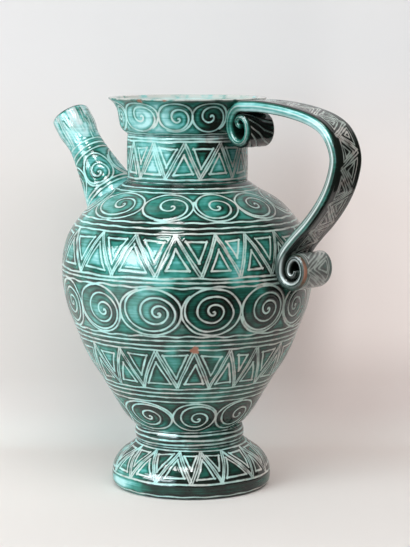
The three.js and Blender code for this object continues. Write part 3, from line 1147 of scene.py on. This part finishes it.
def spout_skin():
    columns = round(2 * math.pi * spout_side[1][0] / GRAIN)
    degrees = SPOUT_SEAM + 360 * np.arange(columns) / columns
    angle = np.radians(degrees)[None, :]
    base = spout_base(angle)
    height = base + np.linspace(0, 1, SPOUT_ROWS)[:, None] * (spout_top - base)
    scratched = spout_ink(degrees, height)
    outside = spout_radius(height) - groove(scratched, SPOUT_GROOVE)
    lip = even_steps(spline(spout_lip), GRAIN)[:, :, None] * np.ones(columns)
    bore = np.stack([base + (BORE_TOP - base) * share for share in (0.66, 0.33, 0)])
    radius = np.concatenate([outside, lip[:, 0], np.full_like(bore, SPOUT_BORE_RADIUS)])
    height = np.concatenate([height, lip[:, 1], bore])
    ink = np.full(height.shape, REACH)
    ink[:SPOUT_ROWS] = scratched
    lip_line = np.clip((height - height.max() + LIP_LINE) / LIP_LINE_BLUR, 0, 1)
    streaks = softened(hand.uniform(0, 1, columns), 2, closed=True)
    streaks = np.clip(STREAK_CONTRAST * streaks - STREAK_FLOOR, 0, 1)
    edge = np.clip((height - WEAR_FROM) / WEAR_FADE, 0, MOST_WEAR) * streaks * (1 - lip_line)
    thin = -SPOUT_POOL * np.clip((height - POOL_FROM) / POOL_FADE, 0, 1) - LIP_LINE_POOL * lip_line
    fields = {"ink": ink, "edge": edge, "thin": thin, "bare": ink * 0}
    uv_rows = np.linspace(0, 1, len(height) + 1)
    points = spout_place(radius, height, angle)
    return grid_piece("spout_skin", points, uv_rows, fields, close_rows=True)


dress(spout_skin(), spout_glaze, "glaze_turquoise", "spout", "spout_slip")

# %% [markdown]
# ## The handle
#
# The handle is one strap of clay, pulled flat and rolled up at both ends. Its centre line is drawn from
# the same sizes as the CAD strap: half ellipses that tighten in the scrolls, and a spline between them.
# A rounded section is then carried along that line. The clay was squeezed thinner as it was rolled.

# %% The strap's centre line
STRAP_THICKNESS = 8
SCROLL_THINNING = 0.77
SCROLL_GAP = 1
SCROLL_POINTS = 25
UPPER_STAND_OFF = 1.4
UPPER_DROP, UPPER_BULGE, UPPER_INNER_BULGE = 25.8, 9.9, 6.2
RIM_STEP_DOWN = 0.8
LOWER_LEVEL = 165
LOWER_PRESS = 0.8
LOWER_WIDTH, LOWER_BULGE, LOWER_INNER_BULGE = 20.2, 10.5, 9.1
BEND_DROP = 37.5
bow_above = [(0.2, 0), (0.43, 0.06), (0.63, 0.157), (0.78, 0.28), (0.888, 0.446), (0.962, 0.7), (1, 1)]
bow_below = [(0.027, 0.13), (0.12, 0.28), (0.272, 0.427), (0.485, 0.578)]
bow_below += [(0.7, 0.7), (0.885, 0.817), (0.98, 0.915)]
rim_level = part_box("rim_collar")[1].z / MM


def strap_thickness(half_turns):
    return STRAP_THICKNESS * SCROLL_THINNING**half_turns


def scroll_pitch(half_turns):
    return (strap_thickness(half_turns) + strap_thickness(half_turns + 2)) / 2 + SCROLL_GAP


def scroll_line(start, along, chord, bulge, inner_bulge):
    """A scroll's centre line, and how many half turns in each of its points is."""
    last_bulge = bulge - scroll_pitch(0.5)
    second = chord - scroll_pitch(0)
    last = min(second - scroll_pitch(1), 2 * last_bulge)
    here, along = np.array(start, float), np.array(along, float)
    points, turned_by = [here], [0.0]
    for half, (length, side) in enumerate([(chord, bulge), (second, inner_bulge), (last, last_bulge)]):
        right = np.array([along[1], -along[0]])
        for angle in np.linspace(0, math.pi, SCROLL_POINTS)[1:]:
            points.append(here + along * length / 2 * (1 - math.cos(angle)) + right * side * math.sin(angle))
            turned_by.append(half + angle / math.pi)
        here = here + along * length
        along = -along
    return np.array(points), np.array(turned_by)


def strap_line():
    """Points (out from the axis, level) of the strap's centre line, with their half turns."""
    half = STRAP_THICKNESS / 2
    neck_low, neck_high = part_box("neck")
    neck_radius = (neck_high.x - neck_low.x) / 2 / MM
    reach = (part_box("handle")[1].x - pot_axis.x) / MM
    top = np.array([neck_radius + UPPER_STAND_OFF + half + UPPER_BULGE, rim_level - RIM_STEP_DOWN - half])
    bottom = np.array([belly_radius(LOWER_LEVEL) - LOWER_PRESS + half, LOWER_LEVEL])
    bend = np.array([reach - half, rim_level - BEND_DROP])
    upper, upper_turns = scroll_line(top, (0, -1), UPPER_DROP, UPPER_BULGE, UPPER_INNER_BULGE)
    lower, lower_turns = scroll_line(bottom, (1, 0), LOWER_WIDTH, LOWER_BULGE, LOWER_INNER_BULGE)
    above = [top + (bend - top) * share for share in np.array(bow_above)]
    below = [bend + (bottom - bend) * share for share in np.array(bow_below)]
    bow = spline([top, *above, *below, bottom])[1:-1]
    line = np.concatenate([upper[::-1], bow, lower])
    return line, np.concatenate([upper_turns[::-1], np.zeros(len(bow)), lower_turns])


print("strap points", len(strap_line()[0]))

# %% [markdown]
# ## The strap's section
#
# A pulled strap has soft corners and sides that bulge a little. The section's columns run across the
# outer face, round two corners and a side, and then the same again turned half round. It is carried
# along the centre line, wider towards the bottom and thinner into each scroll.

# %% The strap's section
STRAP_WIDTH = 31.5
STRAP_LOWER_WIDTH = 34.5
FACE_COLUMNS = 46
CORNER_COLUMNS = 5
SIDE_COLUMNS = 7
CORNER_RADIUS = 2.6
LARGEST_CORNER = 0.8
SIDE_BULGE = 0.9
SMOOTHINGS = 6


def strap_section():
    """Columns round the strap's section: (y share, normal share, corner's y, corner's normal)."""
    quarter = np.linspace(0, math.pi / 2, CORNER_COLUMNS + 2)[1:-1]
    half = [(y, 1, 0, 1) for y in np.linspace(-1, 1, FACE_COLUMNS)]
    half += [(1, 1, math.sin(angle), math.cos(angle)) for angle in quarter]
    half += [(1, n, 1, 0) for n in np.linspace(1, -1, SIDE_COLUMNS)]
    half += [(1, -1, math.cos(angle), -math.sin(angle)) for angle in quarter]
    return np.concatenate([half, -np.array(half)]).T


y_share, n_share, y_corner, n_corner = strap_section()
on_face, on_under = [(n_share == sign) & (n_corner == sign) for sign in (1, -1)]

line, half_turns = strap_line()
passed = travelled(line)
along_strap = np.linspace(0, passed[-1], round(passed[-1] / GRAIN))
strap_out, strap_level, strap_turns = [
    np.interp(along_strap, passed, column) for column in (*line.T, half_turns)
]
for _ in range(SMOOTHINGS):
    for column in (strap_out, strap_level):
        column[1:-1] = (column[:-2] + 2 * column[1:-1] + column[2:]) / 4
widening = [LOWER_LEVEL + LOWER_INNER_BULGE, rim_level - BEND_DROP]
strap_width = np.interp(strap_level, widening, [STRAP_LOWER_WIDTH, STRAP_WIDTH])
print("the strap is", round(passed[-1]), "mm long, with", len(y_share), "columns round it")

# %% [markdown]
# ## Strokes on the strap
#
# The outer face has a zigzag from edge to edge with nested triangles, which starts about where the
# upper scroll ends. Slanting lines fan across that scroll. The lower scroll is rolled outwards, so what
# it shows is the strap's under face, which has a zigzag of its own.

# %% Strap strokes
FACE_MARGIN = 5.5
ROLL_MARGIN = 3
NESTED = (2.4, 4.3)
near_points = [70, 90, 110, 130, 149, 170, 195, 218, 240, 258]
far_points = [61, 80, 100, 120, 141, 160, 186, 212, 231, 249]
roll_near_points = [266, 288, 306]
roll_far_points = [277, 298]
fan_lines = [((-13, 11 + 4.5 * i), (14, 19 + 6.5 * i)) for i in range(7)]


def strap_strokes(near, far, margin):
    """A zigzag from edge to edge along one face of the strap, with triangles in each gap."""
    reach = STRAP_WIDTH / 2 - margin
    corners = np.array(sorted([(s, -reach) for s in near] + [(s, reach) for s in far]))[:, ::-1]
    strokes = double_bars(corners, 0.4)
    for trio in zip(corners, corners[1:], corners[2:]):
        for inset in NESTED:
            strokes += triangle_strokes(shrunk(trio, inset), 0.5, 0, 0.3, BAR_LINE)
    return strokes


def fan_strokes():
    """Slightly bent lines that slant across the outside of the upper scroll."""
    strokes = []
    for start, end in fan_lines:
        bend = (2, (start[1] + end[1]) / 2 + 2)
        strokes.append((unsteady([start, bend, end], 0.4), BAR_LINE))
    return strokes


def strap_ink():
    """The distance to the strokes, on the strap's outer face and on its under face."""
    face = np.linspace(-1, 1, FACE_COLUMNS) * (STRAP_WIDTH / 2 - CORNER_RADIUS)
    girth = strap_width / STRAP_WIDTH
    ink = np.full((len(along_strap), len(y_share)), REACH)
    strokes = strap_strokes(near_points, far_points, FACE_MARGIN) + fan_strokes()
    ink[:, on_face] = ink_field(strokes, face, along_strap, girth, closed=False)
    strokes = strap_strokes(roll_near_points, roll_far_points, ROLL_MARGIN)
    ink[:, on_under] = ink_field(strokes, face, along_strap, girth, closed=False)[:, ::-1]
    return ink


print("the strap's zigzag has", len(near_points + far_points), "points")

# %% [markdown]
# ## Glaze on the strap
#
# Glaze drains off a strap's narrow sides and stays on its flat face, so the sides are pale and the
# face is dark. It drains differently in each stretch: the upper scroll, the bow over the top, the long
# way down, and the lower scroll. Each stretch below has its start and end in mm, the paleness of its
# sides, and the pale lines along them: strength, place and half width, where place is -1 at the under
# face and 1 at the outer one. On the bow the sides are painted paler still, a painted sheen of the
# window's light, and the line near the middle of each side on the upper scroll and on the bow is a
# painted highlight. On the long way down, the broad line along the side is partly worn glaze and partly
# a painted highlight. One edge of the lower scroll has lost its glaze, and the clay shows.

# %% Glaze fields of the strap
STRETCH_FADE = 8
# Painted highlights: the bow's paleness, and the lines at 0.35 and 0.1. The line at 0.05 on the way down is
# both worn and a painted highlight.
strap_stretches = [
    ((-20, 68), 0.75, [(0.9, 0.35, 0.2)]),
    ((68, 150), 1.35, [(0.5, -0.85, 0.12), (0.7, 0.1, 0.2)]),
    ((150, 246), 0.3, [(1.3, 0.05, 0.27), (0.5, -0.7, 0.12)]),
    ((246, 400), -0.2, [(0.7, 0.7, 0.14), (0.35, -0.6, 0.12)]),
]
CORNER_SHARE = 0.3
FACE_POOL = -0.3
MARGIN_POOL = -0.5
ROLL_THIN = 0.4
UNDER_THIN = 0.45
UNDER_WEAR = 0.2
MARGIN_PLACE = 0.66
MARGIN_BLUR = 0.08
BARE_PLACE = 287
BARE_REACH = 7
BARE_AMOUNT = 0.75


def stretch_share(start, end):
    """1 between two places along the strap, and 0 beyond them."""
    before = np.exp((start - along_strap) / STRETCH_FADE * 4)
    beyond = np.exp((along_strap - end) / STRETCH_FADE * 4)
    return (1 / (1 + before) / (1 + beyond))[:, None]


def strap_fields(ink):
    """The four numbers of the glaze at each vertex of the strap."""
    across_side = n_share * (1 - CORNER_SHARE) + n_corner * CORNER_SHARE
    on_side = np.clip((np.abs(y_corner) - 0.3) / 0.5, 0, 1)
    shares = [stretch_share(*span) for span, _, _ in strap_stretches]
    upper_roll, lower_roll = shares[0], shares[-1]
    edge = UNDER_WEAR * on_under * lower_roll
    thin = UNDER_THIN * on_under * lower_roll
    # On the bow and the upper scroll, these also paint highlights on the sides.
    for share, (_, paleness_and_sheen, worn_and_sheen_lines) in zip(shares, strap_stretches):
        thin = thin + paleness_and_sheen * share * on_side
        for strength, place, half_width in worn_and_sheen_lines:
            edge = edge + strength * share * bell(across_side - place, half_width) * on_side
    margin = np.clip((-y_share - MARGIN_PLACE) / MARGIN_BLUR, 0, 1)
    on_outer_face = (n_share == 1) & (np.abs(y_corner) < 0.9)
    thin = thin + on_outer_face * (FACE_POOL + MARGIN_POOL * margin + ROLL_THIN * upper_roll)
    under_edge = (n_share == -1) & (y_corner < -0.1) & (n_corner < -0.45)
    bare = bell(along_strap - BARE_PLACE, BARE_REACH)[:, None] * under_edge * BARE_AMOUNT
    return {"ink": ink, "edge": edge, "thin": thin, "bare": bare}


print("the strap's glaze lies in", len(strap_stretches), "stretches")

# %% [markdown]
# ## The strap's skin
#
# At every step the section stands square to the centre line. Its two ends are flat caps, deep inside
# the scrolls. The skin also covers the slip that lutes the scrolls to the pot.

# %% Handle skin
def handle_skin():
    way = np.stack([np.gradient(strap_out), np.gradient(strap_level)])
    way /= np.hypot(*way)
    half = strap_thickness(strap_turns)[:, None] / 2
    corner = np.minimum(CORNER_RADIUS, half * LARGEST_CORNER)
    bulge = SIDE_BULGE * np.where(np.abs(y_corner) > 0.99, 1 - n_share**2, 0)
    y = y_share * (strap_width[:, None] / 2 - corner - SIDE_BULGE) + y_corner * corner
    y = y + np.sign(y_corner) * bulge
    ink = strap_ink()
    n = n_share * (half - corner) + n_corner * corner
    n = n - (on_face * 1 - on_under * 1) * groove(ink)
    x = pot_axis.x / MM + strap_out[:, None] - way[1][:, None] * n
    z = strap_level[:, None] + way[0][:, None] * n
    points = np.stack([x, y, z], axis=-1)[:, ::-1]
    fields = {name: values[:, ::-1] for name, values in strap_fields(ink).items()}
    return grid_piece("handle_skin", points, along_strap / along_strap[-1], fields, close_rows=False)


dress(handle_skin(), handle_glaze, "glaze_deep", "handle", "upper_handle_slip", "lower_handle_slip")

# %% [markdown]
# ## Table and wall
#
# The jug stands near the front of a pale table, and a pale wall is close behind it. The two meet in a
# small curve, so that no line shows. The photo's wall is brighter beside the jug's shadow and higher
# up. More light would bleach the glaze, so the wall glows a little there instead, only for rays from
# the camera and for reflections. From behind, the wall is seen through, so that the jug's back can be
# looked at too.

# %% The cove's shape
COVE_LEFT = -2.6
COVE_RIGHT = 0.45
COVE_DEPTH = 0.15
COVE_BEND = 0.05
COVE_HEIGHT = 2.4
BEND_STEPS = 16
TABLE_EDGE = -0.185
TABLE_LEFT_EDGE = -3.6


def on_stage(name, vertices, faces, material):
    """A new object round the pot, in metres, turned so that its y runs away from the camera."""
    mesh = bpy.data.meshes.new(name)
    mesh.from_pydata(vertices, [], faces)
    mesh.shade_smooth()
    mesh.materials.append(material)
    made = in_scene(name, mesh)
    made.rotation_euler = (0, 0, turn)
    made.location = (pot_axis.x, 0, 0)
    return made


def cove(material):
    """A table that curves up into a wall. Its front edge lies just outside the picture."""
    side = [(COVE_DEPTH - COVE_BEND, 0.0)]
    for i in range(1, BEND_STEPS + 1):
        angle = math.pi / 2 * i / BEND_STEPS
        side.append((COVE_DEPTH - COVE_BEND * (1 - math.sin(angle)), COVE_BEND * (1 - math.cos(angle))))
    side.append((COVE_DEPTH, COVE_HEIGHT))
    vertices = [(COVE_LEFT, TABLE_LEFT_EDGE, 0), (0, TABLE_EDGE, 0), (COVE_RIGHT, TABLE_EDGE, 0)]
    for depth, height in side:
        vertices += [(x, depth, height) for x in (COVE_LEFT, 0, COVE_RIGHT)]
    faces = []
    for row in range(len(side)):
        for left in (3 * row, 3 * row + 1):
            faces.append((left, left + 1, left + 4, left + 3))
    return on_stage("cove", vertices, faces, material)


print("the wall stands", COVE_DEPTH, "m behind the pot's axis")

# %% The cove's paint
TABLE_COLOUR = (0.77, 0.69, 0.655)
WALL_LOW_COLOUR = (0.715, 0.605, 0.575)
WALL_HIGH_COLOUR = (0.65, 0.575, 0.57)
WALL_GLOW = (1, 0.955, 0.92)
COVE_ROUGHNESS = 0.9
WALL_START = (0.0, 0.03)
WALL_COOLING = (0.18, 0.32)
BESIDE_JUG = (0.085, 0.135)
OVER_TABLE = (0.01, 0.1)
HIGH_UP = (0.15, 0.32)
GLOW_BESIDE = 0.26
GLOW_HIGH = 0.13
GLOW_LOST_HIGH = 0.22


def cove_paint():
    material, shader = new_material("cove")
    start = Wire(material.node_tree)
    place = start.node("ShaderNodeTexCoord", output="Object")
    height = axis(place, "Z")
    wall_colour = mixed(between(height, *WALL_COOLING), WALL_LOW_COLOUR, WALL_HIGH_COLOUR)
    mixed(between(height, *WALL_START), TABLE_COLOUR, wall_colour).into(shader, "Base Color")
    beside = between(axis(place, "X"), *BESIDE_JUG) * between(height, *OVER_TABLE)
    high = between(height, *HIGH_UP)
    seen, mirrored, through = [
        start.node("ShaderNodeLightPath", output=ray)
        for ray in ("Is Camera Ray", "Is Glossy Ray", "Is Transmission Ray")
    ]
    glow = (beside * (GLOW_BESIDE - high * GLOW_LOST_HIGH) + high * GLOW_HIGH) * (seen + mirrored + through)
    mixed(glow, (0, 0, 0), WALL_GLOW).into(shader, "Emission Color")
    (1 - start.node("ShaderNodeNewGeometry", output="Backfacing")).into(shader, "Alpha")
    shader.inputs["Emission Strength"].default_value = 1
    shader.inputs["Roughness"].default_value = COVE_ROUGHNESS
    return material


wall = cove(cove_paint())
print("the cove has", len(wall.data.polygons), "faces")

# %% [markdown]
# ## A sunlit patch
#
# Glaze is a mirror: most of its look is what it reflects. The sun falls on the table in front and to
# the left of the picture, and the belly and the foot show it. Only reflections see this patch: it
# throws no light and no shadow, and the camera doesn't see it from any side.

# %% Sunlit patch
DAYLIGHT = (0.88, 0.97, 1)
SUNLIT_STRENGTH = 1.0
PATCH_LIFT = 0.001
patch_corners = [(-0.005, -0.19), (-0.19, -0.19), (-0.3, 0.4), (-1.6, 0.4), (-1.6, -1.14), (-0.7, -1.14)]


def sunlit_paint():
    material, shader = new_material("sunlit_patch")
    shader.inputs["Base Color"].default_value = (*TABLE_COLOUR, 1)
    shader.inputs["Emission Color"].default_value = (*DAYLIGHT, 1)
    shader.inputs["Emission Strength"].default_value = SUNLIT_STRENGTH
    return material


raised = [(x, y, PATCH_LIFT) for x, y in reversed(patch_corners)]
patch = on_stage("sunlit_patch", raised, [list(range(len(raised)))], sunlit_paint())
patch.visible_diffuse = False
patch.visible_camera = False
patch.visible_shadow = False
print("the patch has", len(patch_corners), "corners")

# %% [markdown]
# ## Daylight
#
# Daylight comes from a large window on the left, whose near edge shows as a line down the belly, with
# brighter panes high in it. A small high lamp gives the sharp glints. These two only show in the glaze.
# Two broad lamps, for the sky and the room's walls, fill the shadows and don't show in it. The camera
# sees none of the lamps.

# %% Lights
SKY = (0.56, 0.92, 1)
WHITE = (1, 1, 1)
LAMP_AIM = 0.15


def lamp(name, azimuth, elevation, distance, width, height, radiance, colour):
    """A soft light that faces the jug. Azimuth is degrees to the left of the camera."""
    data = bpy.data.lights.new(name, "AREA")
    data.shape = "RECTANGLE"
    data.size = width
    data.size_y = height
    data.energy = radiance * math.pi * width * height
    data.color = colour
    made = in_scene(name, data)
    around = math.radians(front_angle - azimuth)
    up = math.radians(elevation)
    aim = Vector((pot_axis.x, 0, LAMP_AIM))
    way = Vector((math.cos(around) * math.cos(up), math.sin(around) * math.cos(up), math.sin(up)))
    made.location = aim + way * distance
    made.rotation_euler = way.to_track_quat("Z", "Y").to_euler()
    made.visible_camera = False
    return made


lamp("window", 44, 13.8, distance=4.5, width=3.45, height=2.6, radiance=3.5, colour=SKY)
panes = lamp("bright_panes", 52, 23, distance=4.4, width=3.6, height=1.5, radiance=17, colour=DAYLIGHT)
glint = lamp("high_lamp", 24, 58, distance=1.6, width=0.46, height=0.42, radiance=22, colour=WHITE)
daylight = lamp("daylight", 50, 38, distance=4.2, width=3.0, height=3.0, radiance=3.2, colour=DAYLIGHT)
bounce = lamp("bounce", -22, 50, distance=3.6, width=3.0, height=3.0, radiance=3.3, colour=WHITE)
for soft in (daylight, bounce):
    soft.visible_glossy = False
for sharp in (panes, glint):
    sharp.visible_diffuse = False
print("lamps", len(bpy.data.lights))

# %% [markdown]
# ## The room
#
# The rest of the room is dim, and its ceiling a little less so. The right side of the jug reflects it,
# which is why that side is dark and its colours are deep.

# %% The room
ROOM_COLOUR = (1, 0.975, 0.95)
ROOM_STRENGTH = 0.05
CEILING_STRENGTH = 0.1
CEILING_START = 0.3

world = bpy.data.worlds.new("world")
bpy.context.scene.world = world
world.use_nodes = True
start = Wire(world.node_tree)
way_up = axis(start.node("ShaderNodeTexCoord"), "Z")
background = world.node_tree.nodes["Background"]
background.inputs["Color"].default_value = (*ROOM_COLOUR, 1)
room = between(way_up, CEILING_START, 1) * CEILING_STRENGTH + ROOM_STRENGTH
room.into(background, "Strength")
print("the room's strength is", ROOM_STRENGTH, "and the ceiling's", ROOM_STRENGTH + CEILING_STRENGTH)

# %% [markdown]
# ## Finish
#
# Standard view keeps colours as they are written.

# %% The end
bpy.context.scene.view_settings.view_transform = "Standard"
